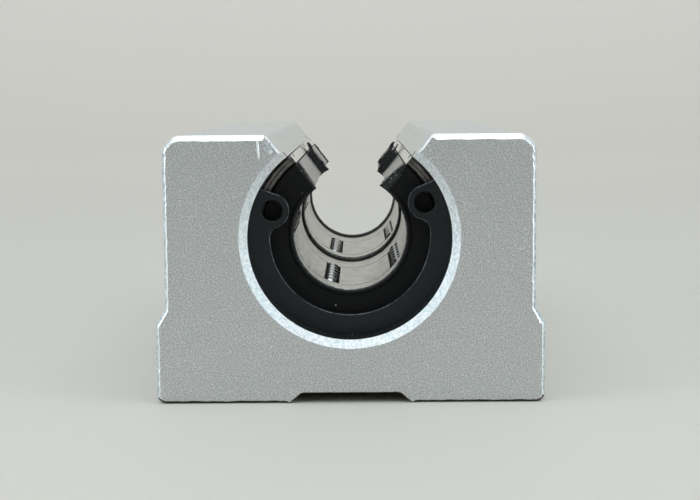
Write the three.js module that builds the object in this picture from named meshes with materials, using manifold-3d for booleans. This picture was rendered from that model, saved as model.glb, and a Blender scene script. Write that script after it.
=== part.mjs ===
// Open linear ball bearing block for a supported 12 mm shaft, long form.
//
// An extruded aluminium housing holds two open ball bushings end to end. Each bushing is a steel
// sleeve with a steel ball cage, a rubber seal at each end and three closed ball circuits. A circlip
// holds each bushing in from its end of the bore, and a set screw stops it from turning.
//
// Units are millimetres. +X is across the block, +Y runs along the shaft from front to rear and +Z
// is up. The origin is the middle of the mounting face. Angles round the bore are in degrees from
// straight up, positive towards +X, except where a circuit is placed from straight down.

import * as THREE from 'three';
import { mergeVertices } from 'three/addons/utils/BufferGeometryUtils.js';
import Module from 'manifold-3d';

// ---------------------------------------------------------------- driving dimensions

const SHAFT_RADIUS = 6;
const FACET_DEGREES = 10; // one facet of every large round surface
const BEYOND = 1; // how far a cutting tool runs past the face it cuts

const block = {
  length: 70,
  height: 27.6,
  boreHeight: 17, // bore axis above the mounting face
  footHalfWidth: 20,
  bodyHalfWidth: 19,
  footHeight: 8.2, // where the foot's side starts to draw in
  shoulderHeight: 9.8, // where it meets the body's side
  footCornerRadius: 0.9,
  topCornerRadius: 1.9,
  boreRadius: 10.5,
  boreChamfer: 0.85,
  slotHalfAngle: 38.5,
  reliefDepth: 1.05,
  reliefHalfWidth: 6.3, // at the mounting face
  reliefRoofHalfWidth: 5.1,
};

const footBolts = { radius: 2.1, depth: 10, halfSpacingX: 14, halfSpacingY: 25 }; // tapped M5

const bushing = {
  length: 30,
  slotHalfAngle: 37.8,
  twist: 1.2, // turned in its bore, clockwise from the front
};

const sleeve = { outerRadius: 10.4, innerRadius: 9.4 };
const sleeveGroove = { radius: 10, width: 1.3, outerEdgeSpacing: 23 };
const land = { radius: 8.42, halfWidth: 1.2, halfLength: 6.3 }; // raised raceway over a loaded row
const cage = {
  innerRadius: 6.2,
  outerRadius: 8.3,
  floorRadius: 6.5, // bottom of the ball channels
  halfLength: 12.55,
  edgeBarRadius: 9.25, // the cage is thicker along the slot's edges, where it fills the sleeve
  edgeBarAngle: 18,
};
const seal = { lipRadius: 5.95, bodyRadius: 6.5, outerRadius: 9.3, thickness: 2.2, recess: 0.1 };

const circlip = {
  thickness: 1,
  outerRadius: 11,
  innerRadius: 8.4,
  lugHalfAngle: 69.55,
  lugPitchRadius: 8.55,
  lugRadius: 1.8,
  eyeRadius: 1.1,
  fillet: 1.3, // between a lug and the ring's inner edge
  twists: { front: -2.75, rear: 1.5 },
};
const circlipGroove = { radius: 11.1, width: 1.2 };

const setScrew = {
  radius: 1.95,
  holeRadius: 2.05,
  length: 6,
  pointRadius: 1.2,
  pointLength: 0.7,
  socketAcrossFlats: 2,
  socketDepth: 2.2,
  gapToSleeve: 0.1,
};

// Each circuit is a racetrack: a loaded row, a return row and a half turn at each end.
const ball = { radius: 1.19, perRow: 6, perTurn: 3 };
const neckRadius = 0.35; // thin link that joins a segment's balls into one solid
const circuitCentres = { left: -72.8, bottom: 0, right: 72.8 }; // from straight down, towards +X
const rowHalfAngle = 19; // a circuit's rows lie this far to each side of its centre
const loadRowRadius = SHAFT_RADIUS + ball.radius;
const returnRowRadius = 7.9;
const turnHeights = [7.57, 7.85, 7.576]; // each turning ball's distance from the bore axis' level
const channelHalfWidth = ball.radius + 0.12;
const windowHalfWidth = 1; // slot in the cage's bore that a loaded row shows through

// ---------------------------------------------------------------- worked-out dimensions

const radians = THREE.MathUtils.degToRad;
const loadRowOffset = -loadRowRadius * Math.sin(radians(rowHalfAngle));
const returnRowOffset = returnRowRadius * Math.sin(radians(rowHalfAngle));
const turnRadius = (returnRowOffset - loadRowOffset) / 2;
const turnOffset = (returnRowOffset + loadRowOffset) / 2;
const ballPitch = (Math.PI * turnRadius) / ball.perTurn;
const rowHalfLength = (ball.perRow * ballPitch) / 2; // up to where a turn starts
const bushingCentres = { front: -bushing.length / 2, rear: bushing.length / 2 };
const bodyTop = block.height - block.boreHeight; // heights from here on are above the bore axis
const mountingFace = -block.boreHeight;
const shoulderTop = mountingFace + block.shoulderHeight;

// ---------------------------------------------------------------- materials

const finishes = {
  aluminium: { color: 0xb4b8ba, roughness: 0.55, metalness: 0.9 },
  bearingSteel: { color: 0xa9abad, roughness: 0.3, metalness: 1 },
  polishedSteel: { color: 0xc9ccd0, roughness: 0.12, metalness: 1 },
  blackSteel: { color: 0x1c1d1f, roughness: 0.4, metalness: 0.7 },
  blackRubber: { color: 0x141415, roughness: 0.75, metalness: 0 },
};

// ---------------------------------------------------------------- solids and outlines

const manifold = await Module();
manifold.setup();

/** A closed three.js geometry as a solid that can be joined and cut. */
function solid(geometry) {
  const bare = geometry.clone();
  bare.deleteAttribute('normal');
  bare.deleteAttribute('uv');
  const merged = mergeVertices(bare);
  return new manifold.Manifold(
    new manifold.Mesh({
      numProp: 3,
      vertProperties: new Float32Array(merged.attributes.position.array),
      triVerts: new Uint32Array(merged.index.array),
    }),
  );
}

/** A named mesh of a finished solid, in one of the finishes. */
function named(name, shape, finish) {
  const { vertProperties, triVerts } = shape.getMesh();
  const geometry = new THREE.BufferGeometry();
  geometry.setAttribute('position', new THREE.BufferAttribute(vertProperties, 3));
  geometry.setIndex(new THREE.BufferAttribute(triVerts, 1));
  geometry.computeVertexNormals();
  const material = new THREE.MeshStandardMaterial({ ...finishes[finish], flatShading: true });
  const mesh = new THREE.Mesh(geometry, material);
  mesh.name = name;
  return mesh;
}

/** A point of a cross-section, at an angle from straight up. */
function polar(radius, degrees) {
  return new THREE.Vector2(radius * Math.sin(radians(degrees)), radius * Math.cos(radians(degrees)));
}

/** Points along an arc, both ends included, by angles from straight up. */
function arc(centre, radius, fromDegrees, toDegrees, steps) {
  return Array.from({ length: steps + 1 }, (_, i) =>
    polar(radius, fromDegrees + ((toDegrees - fromDegrees) * i) / steps).add(centre),
  );
}

/** The same points on the other side of the middle plane, in reverse order. */
function mirrored(points) {
  return points.map((p) => new THREE.Vector2(-p.x, p.y)).reverse();
}

/** A cross-section run along the shaft's direction, from one place to another. */
function alongShaft(points, fromY, toY) {
  const geometry = new THREE.ExtrudeGeometry(new THREE.Shape(points), {
    depth: toY - fromY,
    bevelEnabled: false,
  });
  return solid(geometry.rotateX(Math.PI / 2).translate(0, toY, 0));
}

/** A profile of radius and place along the shaft, from axis to axis, turned round the bore axis. */
function turnedOnAxis(profile, segments = 360 / FACET_DEGREES) {
  const points = profile.map(([radius, y]) => new THREE.Vector2(radius, y));
  return solid(new THREE.LatheGeometry(points, segments));
}

/** A profile that stays off the axis and closes on itself, turned round the bore axis. */
function turned(profile) {
  return turnedOnAxis([...profile, profile[0]]);
}

/** A plain ring round the bore axis. */
function ring(innerRadius, outerRadius, fromY, toY) {
  return turned([
    [innerRadius, fromY],
    [outerRadius, fromY],
    [outerRadius, toY],
    [innerRadius, toY],
  ]);
}

/** A round bar along the shaft's direction. */
function bar(radius, fromY, toY, segments = 360 / FACET_DEGREES) {
  const geometry = new THREE.CylinderGeometry(radius, radius, toY - fromY, segments);
  return solid(geometry.translate(0, (fromY + toY) / 2, 0));
}

/** The open sector over the shaft, as a cutting tool. */
function openSector(halfAngle, halfLength) {
  const reach = 2 * sleeve.outerRadius;
  return alongShaft(
    [new THREE.Vector2(0, 0), polar(reach, -halfAngle), polar(reach, halfAngle)],
    -halfLength - BEYOND,
    halfLength + BEYOND,
  );
}

/** A solid seen in a mirror that stands across the shaft. */
function mirroredFrontToRear(shape) {
  return shape.mirror([0, 1, 0]);
}

// ---------------------------------------------------------------- housing

/** Right half of the housing's cross-section, from the relief's roof round to the bore's bottom. */
function housingHalfOutline() {
  const { footCornerRadius: footRadius, topCornerRadius: topRadius } = block;
  const footCorner = new THREE.Vector2(
    block.footHalfWidth - footRadius,
    mountingFace + footRadius,
  );
  const topCorner = new THREE.Vector2(block.bodyHalfWidth - topRadius, bodyTop - topRadius);
  const slotTop = bodyTop * Math.tan(radians(block.slotHalfAngle));
  const boreSteps = Math.round((180 - block.slotHalfAngle) / FACET_DEGREES);
  const bore = arc(new THREE.Vector2(), block.boreRadius, block.slotHalfAngle, 180, boreSteps);
  return [
    new THREE.Vector2(block.reliefRoofHalfWidth, mountingFace + block.reliefDepth),
    new THREE.Vector2(block.reliefHalfWidth, mountingFace),
    ...arc(footCorner, footRadius, 180, 90, 3),
    new THREE.Vector2(block.footHalfWidth, mountingFace + block.footHeight),
    new THREE.Vector2(block.bodyHalfWidth, shoulderTop),
    ...arc(topCorner, topRadius, 90, 0, 4),
    new THREE.Vector2(slotTop, bodyTop),
    ...bore,
  ];
}

/** The cone that chamfers the bore's front end. */
function boreChamferTool() {
  const face = -block.length / 2;
  const depth = block.boreChamfer + BEYOND;
  return turnedOnAxis([
    [0, face - BEYOND],
    [block.boreRadius + depth, face - BEYOND],
    [block.boreRadius - BEYOND, face + depth],
    [0, face + depth],
  ]);
}

/** The circlip's groove outside one bushing. */
function circlipGrooveTool(end) {
  const near = end * bushing.length;
  const far = near + end * circlipGroove.width;
  return bar(circlipGroove.radius, Math.min(near, far), Math.max(near, far));
}

/** The four tapped holes in the mounting face. */
function footBoltTools() {
  const height = footBolts.depth + BEYOND;
  return [-1, 1].flatMap((sideX) =>
    [-1, 1].map((sideY) => {
      const hole = new THREE.CylinderGeometry(footBolts.radius, footBolts.radius, height, 12);
      hole.rotateX(Math.PI / 2);
      hole.translate(
        sideX * footBolts.halfSpacingX,
        sideY * footBolts.halfSpacingY,
        mountingFace - BEYOND + height / 2,
      );
      return solid(hole);
    }),
  );
}

/** The set screw's hole from the block's side into the bore, at one bushing's middle. */
function setScrewHoleTool(y) {
  const from = block.boreRadius - BEYOND;
  const to = block.bodyHalfWidth + BEYOND;
  const hole = new THREE.CylinderGeometry(setScrew.holeRadius, setScrew.holeRadius, to - from, 16);
  return solid(hole.rotateZ(Math.PI / 2).translate((from + to) / 2, y, 0));
}

function housingSolid() {
  const half = housingHalfOutline();
  const lowestBorePoint = half.pop();
  const outline = [...half, lowestBorePoint, ...mirrored(half)];
  const tools = [
    boreChamferTool(),
    mirroredFrontToRear(boreChamferTool()),
    circlipGrooveTool(-1),
    circlipGrooveTool(1),
    ...footBoltTools(),
    ...Object.values(bushingCentres).map(setScrewHoleTool),
  ];
  const blank = alongShaft(outline, -block.length / 2, block.length / 2);
  return tools.reduce((rest, tool) => rest.subtract(tool), blank);
}

// ---------------------------------------------------------------- circlips

/**
 * Right half of the circlip's outline, from its outer edge's end in over the lug to the bottom of
 * the ring's inner edge. The end face lies along the lug's own radius, touching the lug's side.
 */
function circlipHalfInnerOutline() {
  const { lugHalfAngle, lugPitchRadius, lugRadius, innerRadius, fillet } = circlip;
  const lugCentre = polar(lugPitchRadius, lugHalfAngle);
  const filletPitch = innerRadius - fillet;
  const centresApart = lugRadius + fillet;
  const filletTurn = Math.acos(
    (filletPitch ** 2 + lugPitchRadius ** 2 - centresApart ** 2) / (2 * filletPitch * lugPitchRadius),
  );
  const filletAngle = lugHalfAngle + THREE.MathUtils.radToDeg(filletTurn);
  const filletCentre = polar(filletPitch, filletAngle);
  const meeting = filletCentre.clone().sub(lugCentre);
  const meetingAngle = THREE.MathUtils.radToDeg(Math.atan2(meeting.x, meeting.y));
  return [
    ...arc(lugCentre, lugRadius, lugHalfAngle - 90, meetingAngle, 8),
    ...arc(filletCentre, fillet, meetingAngle + 180, filletAngle, 4).slice(1),
    ...arc(new THREE.Vector2(), innerRadius, filletAngle, 180, 9).slice(1),
  ];
}

function circlipSolid() {
  const { lugHalfAngle, lugRadius, outerRadius, thickness } = circlip;
  const endTurn = THREE.MathUtils.radToDeg(Math.asin(lugRadius / outerRadius));
  const endAngle = lugHalfAngle - endTurn;
  const outerEdge = arc(new THREE.Vector2(), outerRadius, -endAngle, endAngle - 360, 24);
  const half = circlipHalfInnerOutline();
  const lowest = half.pop();
  const blank = alongShaft(
    [...outerEdge, ...half, lowest, ...mirrored(half)],
    -thickness / 2,
    thickness / 2,
  );
  const eyes = [-1, 1].map((side) => {
    const centre = polar(circlip.lugPitchRadius, side * lugHalfAngle);
    return bar(circlip.eyeRadius, -thickness, thickness, 12).translate([centre.x, 0, centre.y]);
  });
  return blank.subtract(eyes[0]).subtract(eyes[1]);
}

// ---------------------------------------------------------------- bushing: sleeve, cage and seals

/** Turns a solid round the bore axis to an angle from straight down, positive towards +X. */
function fromDown(shape, degrees) {
  return shape.rotate([0, -degrees, 0]);
}

/** The raised raceway inside the sleeve over one loaded row, for a row that lies straight down. */
function raceway() {
  const depth = sleeve.innerRadius + 0.3 - land.radius;
  const box = new THREE.BoxGeometry(2 * land.halfWidth, 2 * land.halfLength, depth);
  return solid(box.translate(0, 0, -land.radius - depth / 2));
}

function sleeveSolid() {
  const end = bushing.length / 2;
  const grooveFar = sleeveGroove.outerEdgeSpacing / 2;
  const grooveNear = grooveFar - sleeveGroove.width;
  const tube = turned([
    [sleeve.innerRadius, -end],
    [sleeve.outerRadius, -end],
    [sleeve.outerRadius, -grooveFar],
    [sleeveGroove.radius, -grooveFar],
    [sleeveGroove.radius, -grooveNear],
    [sleeve.outerRadius, -grooveNear],
    [sleeve.outerRadius, grooveNear],
    [sleeveGroove.radius, grooveNear],
    [sleeveGroove.radius, grooveFar],
    [sleeve.outerRadius, grooveFar],
    [sleeve.outerRadius, end],
    [sleeve.innerRadius, end],
  ]);
  const raceways = Object.values(circuitCentres).map((centre) =>
    fromDown(raceway(), centre - rowHalfAngle),
  );
  return raceways
    .reduce((whole, one) => whole.add(one), tube)
    .subtract(openSector(bushing.slotHalfAngle, end));
}

/** Outline of a racetrack round the circuit's middle, at a distance from the turns' centres. */
function racetrack(radius, steps) {
  const rear = arc(new THREE.Vector2(turnOffset, rowHalfLength), radius, -90, 90, steps);
  const front = arc(new THREE.Vector2(turnOffset, -rowHalfLength), radius, 90, 270, steps);
  return [...rear, ...front];
}

/** The channel that one circuit's balls run in, and its window, for a circuit straight down. */
function channelTool() {
  const track = new THREE.Shape(racetrack(turnRadius + channelHalfWidth, 10));
  track.holes.push(new THREE.Path(racetrack(turnRadius - channelHalfWidth, 6).reverse()));
  const depth = cage.outerRadius + BEYOND;
  const prism = solid(
    new THREE.ExtrudeGeometry(track, { depth, bevelEnabled: false }).translate(0, 0, -depth),
  );
  const floor = bar(cage.floorRadius, -bushing.length, bushing.length);
  const windowOutline = [
    ...arc(new THREE.Vector2(0, rowHalfLength), windowHalfWidth, -90, 90, 6),
    ...arc(new THREE.Vector2(0, -rowHalfLength), windowHalfWidth, 90, 270, 6),
  ];
  const window = solid(
    new THREE.ExtrudeGeometry(new THREE.Shape(windowOutline), {
      depth: loadRowRadius - cage.innerRadius + BEYOND,
      bevelEnabled: false,
    }).translate(0, 0, -loadRowRadius),
  );
  return prism.subtract(floor).add(fromDown(window, -rowHalfAngle));
}

/** The thicker bar along one edge of the cage's slot: side is -1 on the left and 1 on the right. */
function cageEdgeBar(side) {
  const fromAngle = side * bushing.slotHalfAngle;
  const toAngle = fromAngle + side * cage.edgeBarAngle;
  const middleRadius = (cage.innerRadius + cage.outerRadius) / 2;
  const outline = [
    ...arc(new THREE.Vector2(), cage.edgeBarRadius, fromAngle, toAngle, 2),
    ...arc(new THREE.Vector2(), middleRadius, toAngle, fromAngle, 2),
  ];
  return alongShaft(outline, -cage.halfLength, cage.halfLength);
}

function cageSolid() {
  const { innerRadius, outerRadius, halfLength } = cage;
  const blank = ring(innerRadius, outerRadius, -halfLength, halfLength)
    .subtract(openSector(bushing.slotHalfAngle, halfLength))
    .add(cageEdgeBar(-1))
    .add(cageEdgeBar(1));
  return Object.values(circuitCentres)
    .map((centre) => fromDown(channelTool(), centre))
    .reduce((rest, tool) => rest.subtract(tool), blank);
}

/** An end seal whose lip faces the bushing's front, with its outer face at y = 0. */
function sealSolid() {
  const { lipRadius, bodyRadius, outerRadius, thickness } = seal;
  const lipThickness = thickness / 3;
  return turned([
    [lipRadius, 0],
    [outerRadius, 0],
    [outerRadius, thickness],
    [bodyRadius, thickness],
    [bodyRadius, 2 * lipThickness],
    [lipRadius, lipThickness],
  ]).subtract(openSector(bushing.slotHalfAngle, thickness));
}

// ---------------------------------------------------------------- bushing: ball circuits

/** A straight row of balls along the shaft, with thin necks between them. */
function rowSolid(segments) {
  const neckAngle = THREE.MathUtils.radToDeg(Math.asin(neckRadius / ball.radius));
  const half = ((ball.perRow - 1) * ballPitch) / 2;
  const profile = [];
  for (let i = 0; i < ball.perRow; i += 1) {
    const from = i === 0 ? 180 : 180 - neckAngle;
    const to = i === ball.perRow - 1 ? 0 : neckAngle;
    const centre = new THREE.Vector2(0, i * ballPitch - half);
    profile.push(...arc(centre, ball.radius, from, to, 4));
  }
  profile[0].x = 0;
  profile[profile.length - 1].x = 0;
  return solid(new THREE.LatheGeometry(profile, segments));
}

/** One half turn of balls at the rear of a circuit that lies straight down. */
function turnSolid() {
  const step = 180 / ball.perTurn;
  const centres = turnHeights.map((height, i) => {
    const place = radians(step * (i + 0.5));
    return new THREE.Vector3(
      turnOffset - turnRadius * Math.cos(place),
      rowHalfLength + turnRadius * Math.sin(place),
      -height,
    );
  });
  const balls = centres.map((centre) =>
    solid(new THREE.SphereGeometry(ball.radius, 6, 4).translate(...centre.toArray())),
  );
  const necks = centres.slice(1).map((centre, i) => neck(centres[i], centre));
  return [...balls, ...necks].reduce((whole, one) => whole.add(one));
}

/** A thin bar between two balls' centres. */
function neck(from, to) {
  const direction = to.clone().sub(from);
  const geometry = new THREE.CylinderGeometry(neckRadius, neckRadius, direction.length(), 4);
  const turn = new THREE.Quaternion().setFromUnitVectors(
    new THREE.Vector3(0, 1, 0),
    direction.clone().normalize(),
  );
  geometry.applyQuaternion(turn);
  geometry.translate(...from.clone().add(to).divideScalar(2).toArray());
  return solid(geometry);
}

/** The four segments of one circuit. */
function circuit(name, degrees) {
  const loadRow = rowSolid(8).translate([0, 0, -loadRowRadius]);
  const returnRow = rowSolid(6).translate([0, 0, -returnRowRadius]);
  const farTurn = turnSolid();
  const segments = {
    load_row: fromDown(loadRow, -rowHalfAngle),
    return_row: fromDown(returnRow, rowHalfAngle),
    near_turn: mirroredFrontToRear(farTurn),
    far_turn: farTurn,
  };
  const group = new THREE.Group();
  group.rotation.y = -radians(degrees);
  for (const [segment, shape] of Object.entries(segments)) {
    group.add(named(`${name}_${segment}`, shape, 'polishedSteel'));
  }
  return group;
}

// ---------------------------------------------------------------- set screws

/** A socket set screw that points towards the bore axis, its point at x = 0. */
function setScrewSolid() {
  const { radius, length, pointRadius, pointLength, socketAcrossFlats, socketDepth } = setScrew;
  const shank = turnedOnAxis(
    [
      [0, 0],
      [pointRadius, 0],
      [radius, pointLength],
      [radius, length],
      [0, length],
    ],
    16,
  );
  const cornerRadius = socketAcrossFlats / Math.sqrt(3);
  const socket = new THREE.CylinderGeometry(cornerRadius, cornerRadius, 2 * socketDepth, 6);
  socket.translate(0, length, 0);
  return shank.subtract(solid(socket)).rotate([0, 0, -90]);
}

// ---------------------------------------------------------------- assembly

/** One bushing with everything in it, its middle at the group's origin. */
function bushingGroup(name) {
  const group = new THREE.Group();
  const sealFace = bushing.length / 2 - seal.recess;
  const towardsFront = named('', sealSolid(), 'blackRubber');
  const towardsRear = named('', mirroredFrontToRear(sealSolid()), 'blackRubber');
  towardsFront.position.y = -sealFace;
  towardsRear.position.y = sealFace;
  const outer = name === 'front' ? towardsFront : towardsRear;
  const inner = name === 'front' ? towardsRear : towardsFront;
  outer.name = `${name}_outer_seal`;
  inner.name = `${name}_inner_seal`;
  group.add(named(`${name}_sleeve`, sleeveSolid(), 'bearingSteel'));
  group.add(named(`${name}_cage`, cageSolid(), 'bearingSteel'));
  group.add(outer, inner);
  for (const [side, degrees] of Object.entries(circuitCentres)) {
    group.add(circuit(`${name}_${side}`, degrees));
  }
  group.rotation.y = radians(bushing.twist);
  return group;
}

/** One end of the block: its bushing, circlip and set screw. */
function endGroup(name) {
  const end = Math.sign(bushingCentres[name]);
  const group = new THREE.Group();

  const inBore = bushingGroup(name);
  inBore.position.y = bushingCentres[name];

  const clip = named(`${name}_circlip`, circlipSolid(), 'blackSteel');
  clip.position.y = end * (bushing.length + circlipGroove.width / 2);
  clip.rotation.y = radians(circlip.twists[name]);

  const screw = named(`${name}_set_screw`, setScrewSolid(), 'blackSteel');
  screw.position.set(sleeve.outerRadius + setScrew.gapToSleeve, bushingCentres[name], 0);

  group.add(inBore, clip, screw);
  return group;
}

const bearingBlock = new THREE.Group();
bearingBlock.position.z = block.boreHeight;
bearingBlock.add(named('housing', housingSolid(), 'aluminium'));
bearingBlock.add(endGroup('front'), endGroup('rear'));

export default bearingBlock;
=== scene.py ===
"""Looks for an open linear ball bearing block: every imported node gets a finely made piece.

Shapes are worked out in millimetres round the bore axis: x across, y along the shaft, z up.
Angles round the bore are in degrees from straight up, positive towards +X, as the front sees
them clockwise. Pieces are then placed in the frame, in metres.
"""

import math

import bmesh
import bpy
from mathutils import Matrix, Vector, noise


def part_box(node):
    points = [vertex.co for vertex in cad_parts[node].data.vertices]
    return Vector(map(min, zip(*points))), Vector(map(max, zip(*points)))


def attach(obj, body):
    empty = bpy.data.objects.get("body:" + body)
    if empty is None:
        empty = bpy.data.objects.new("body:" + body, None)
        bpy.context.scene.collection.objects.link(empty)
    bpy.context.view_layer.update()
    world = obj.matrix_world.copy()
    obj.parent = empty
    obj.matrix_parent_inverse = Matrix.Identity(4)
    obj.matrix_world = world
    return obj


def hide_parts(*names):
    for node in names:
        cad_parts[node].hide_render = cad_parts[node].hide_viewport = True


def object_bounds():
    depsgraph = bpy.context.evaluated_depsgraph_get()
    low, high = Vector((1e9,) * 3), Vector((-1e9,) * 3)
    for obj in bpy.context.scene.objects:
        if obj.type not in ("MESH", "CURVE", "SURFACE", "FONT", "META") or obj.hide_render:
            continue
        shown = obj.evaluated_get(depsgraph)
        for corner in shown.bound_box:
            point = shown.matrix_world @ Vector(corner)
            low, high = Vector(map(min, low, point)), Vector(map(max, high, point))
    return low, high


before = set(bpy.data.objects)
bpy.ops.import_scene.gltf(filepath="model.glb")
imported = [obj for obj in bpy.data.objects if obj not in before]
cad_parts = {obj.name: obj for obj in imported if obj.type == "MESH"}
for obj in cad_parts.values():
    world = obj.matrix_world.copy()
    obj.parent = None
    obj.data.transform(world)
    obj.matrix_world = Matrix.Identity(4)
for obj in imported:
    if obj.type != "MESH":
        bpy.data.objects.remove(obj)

cad_low, cad_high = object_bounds()

# ---------- dimensions, in millimetres

MM = 0.001
sleeve_low, sleeve_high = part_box("front_sleeve")
SLEEVE_RADIUS = 10.4
BORE_HEIGHT = sleeve_low.z / MM + SLEEVE_RADIUS
BUSHING_LENGTH = (sleeve_high.y - sleeve_low.y) / MM
BLOCK_LENGTH = (cad_high.y - cad_low.y) / MM
BLOCK_HEIGHT = (cad_high.z - cad_low.z) / MM
FOOT_HALF_WIDTH = cad_high.x / MM
BUSHING_CENTRES = {"front": -BUSHING_LENGTH / 2, "rear": BUSHING_LENGTH / 2}

BODY_HALF_WIDTH = 19.0
FOOT_HEIGHT = 8.2
SHOULDER_HEIGHT = 9.8
FOOT_CORNER_RADIUS = 0.9
TOP_CORNER_RADIUS = 1.9
SHOULDER_RADIUS = 0.8
SLOT_CORNER_RADIUS = 0.8
BORE_RADIUS = 10.5
BORE_CHAMFER = 0.85
BORE_CHAMFER_DEPTH = 0.6
SLOT_HALF_ANGLE = 38.5
RELIEF_DEPTH = 1.05
RELIEF_HALF_WIDTH = 6.3
RELIEF_ROOF_HALF_WIDTH = 5.1
RELIEF_ROOF_RADIUS = 0.5
RELIEF_EDGE_RADIUS = 0.15

EDGE_STEPS = 4
EDGE_FLATNESS = 0.75
EDGE_BREAK = 0.34
EDGE_WANDER = 0.07
THIN_EDGE_WANDER = 0.08
EDGE_WANDERS_PER_MM = 0.9
TOP_EDGE_EXTRA = 0.22
TOP_EDGE_DEPTH = 1
NICK_DEPTH = 0.3
NICK_THRESHOLD = 0.2
NICKS_PER_MM = 2.3
FOOT_EDGE_BREAK = 0.36
FOOT_EDGE_HEIGHT = 0.3
RELIEF_EDGE_LOSS = 0.7
RELIEF_EDGE_HEIGHT = 2.5
SLOT_EDGE_BREAK = 0.2
SLOT_EDGE_REACH = 9.2
MOSTLY_UPWARD = 0.9
SLOT_NICK_DEPTH = 0.25
CORNER_ROOM = 0.5
# How high up the foot the downward edges take the brown-stained, painted-shade material.
GRIME_AND_SHADE_HEIGHT = 1.5
DENT_LUMPINESS = 0.05
DENT_LUMPS_PER_MM = 2.2

FOOT_BOLT_PLACES = [(x, y) for x in (-14, 14) for y in (-25, 25)]
FOOT_BOLT_DEPTH = 10
FOOT_BOLT_START = 0.01
FOOT_BOLT_THREAD = {"radius": 2.5, "depth": 0.4, "pitch": 0.8}
FOOT_BOLT_SINK = [(3.6, -1), (2.6, 0), (2.0, 0.6)]
SCREW_HOLE_THREAD = {"radius": 2.12, "depth": 0.1, "pitch": 0.7}
SCREW_HOLE_SINK = [(1.6, -0.9), (2.45, 0), (3.5, 1)]
SCREW_HOLE_OVERLAP = 0.6
SCREW_THREAD = {"radius": 1.93, "depth": 0.22, "pitch": 0.7}
SCREW_POINT = [(0.9, 0.0), (1.25, 0.0), (1.95, 0.7)]
SCREW_HEAD = [(1.95, 0.25), (1.7, 0), (0.9, 0)]
SCREW_SOCKET_ACROSS_FLATS = 2
SCREW_SOCKET_DEPTH = 2.2
SCREW_SOCKET_CONE = 0.4
SCREW_SOCKET_TIP = 0.05
SCREW_RIM = (-0.35, 0.3)
THREAD_ROWS_PER_TURN = 6

OPENING_HALF_ANGLE = 37.8
BUSHING_TWIST = 1.2
BUSHING_STEPS = 188
SLEEVE_INNER_RADIUS = 9.4
SLEEVE_BORE_CHAMFER = 0.3
SLEEVE_END_CHAMFER = 0.22
SLEEVE_SCORE = (0.42, 0.5, 0.58)
SLEEVE_SCORE_DEPTH = 0.14
SLEEVE_RING_GROOVE = (11.5, 10.2)
SLEEVE_RING_GROOVE_DEPTH = 0.4
SLEEVE_CORNER_RADII = (0.05, 0.03)
RACEWAY_LOOSENESS = 1.04
RACEWAY_LIP = 0.75
RACEWAY_HALF_WIDTH = 1.2
RACEWAY_HALF_LENGTH = 6.3
RACEWAY_ROOT = 0.3
CAGE_INNER_RADIUS = 6.2
CAGE_OUTER_RADIUS = 8.3
CAGE_EDGE_RADIUS = 9.25
CAGE_EDGE_ANGLE = 18
CAGE_EDGE_RISE = 1.5
CAGE_CORNER_RADIUS = 0.12
CAGE_SOFTENING = 0.05
CAGE_FLOOR_RADIUS = 6.44
CAGE_HALF_LENGTH = 12.55
SEAL_LIP_RADIUS = 5.95
SEAL_OUTER_RADIUS = 9.3
SEAL_THICKNESS = 2.2
SEAL_RECESS = 0.1
SEAL_FLANGE_START = 8.8
SEAL_STEPS = 140
FLASH_ANGLES = (0, 0.35, 0.8, 1.5, 2.5)
TORN_ANGLE = 1.5
COARSE_TEARS_PER_MM = (1.7, 1.9)
FINE_TEARS_PER_MM = (5.3, 5.1)
FINE_TEARS = 0.7
LIP_WIDTH = 0.3
LIP_RIPPLE = 0.05
RIPPLES_PER_DEGREE = 0.35
GLOSSY_LIP_WIDTH = 0.16

# Each seal's torn flash: how far the cut edges on its left and its right stand out at the lip, in
# the middle and outside, how ragged they are, and how far the rim flares outwards there.
SEALS = [
    ("front", "outer", (0.03, 0.1, 0.2), (0.75, 0.5, 0.12), 0.16, 0),
    ("front", "inner", (0.8, 0.95, 0.8), (0.5, 1.5, 1.2), 0.3, 0.95),
    ("rear", "inner", (0.6, 0.75, 0.6), (0.4, 0.8, 0.6), 0.25, 0.95),
    ("rear", "outer", (0.1, 0.1, 0.1), (0.1, 0.2, 0.1), 0.12, 0),
]

CIRCLIP_THICKNESS = 1
CIRCLIP_OUTER_RADIUS = 11
CIRCLIP_INNER_RADIUS = 8.4
CIRCLIP_LUG_ANGLE = 69.55
CIRCLIP_LUG_PITCH = 8.55
CIRCLIP_LUG_RADIUS = 1.8
CIRCLIP_EYE_RADIUS = 1.1
CIRCLIP_FILLET = 1.3
CIRCLIP_EDGE = 0.09
CIRCLIP_EYE_RIM = 0.08
CIRCLIP_TWISTS = {"front": -2.75, "rear": 1.5}
GROOVE_RADIUS = 11.1
GROOVE_WIDTH = 1.2

BALL_RADIUS = 1.19
BALLS_PER_ROW = 6
BALLS_PER_TURN = 3
CIRCUIT_CENTRES = {"left": -72.8, "bottom": 0, "right": 72.8}
ROW_HALF_ANGLE = 19
LOAD_ROW_RADIUS = 7.19
RETURN_ROW_RADIUS = 7.9
TURN_HEIGHTS = (7.57, 7.85, 7.576)
# How far round the bore a ball's face turns before it takes the painted dark reflection.
FLANK_REFLECTION_LIMITS = (-0.42, 0.36)
CHANNEL_HALF_WIDTH = 1.31
CHANNEL_DEPTHS = (3, 9.2)
ISLAND_DEPTHS = (2, 10)
WINDOW_HALF_WIDTH = 0.88
WINDOW_ENDS = (-8.7, 6.0)
WINDOW_SLIT = 0.16
SEAM_PLACES = (-9.1, 6.3)
SEAM_WIDTH = 0.22
SEAM_DEPTH = 0.2

load_offset = -LOAD_ROW_RADIUS * math.sin(math.radians(ROW_HALF_ANGLE))
return_offset = RETURN_ROW_RADIUS * math.sin(math.radians(ROW_HALF_ANGLE))
turn_radius = (return_offset - load_offset) / 2
turn_offset = (return_offset + load_offset) / 2
ball_pitch = math.pi * turn_radius / BALLS_PER_TURN
row_half_length = BALLS_PER_ROW * ball_pitch / 2

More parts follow.
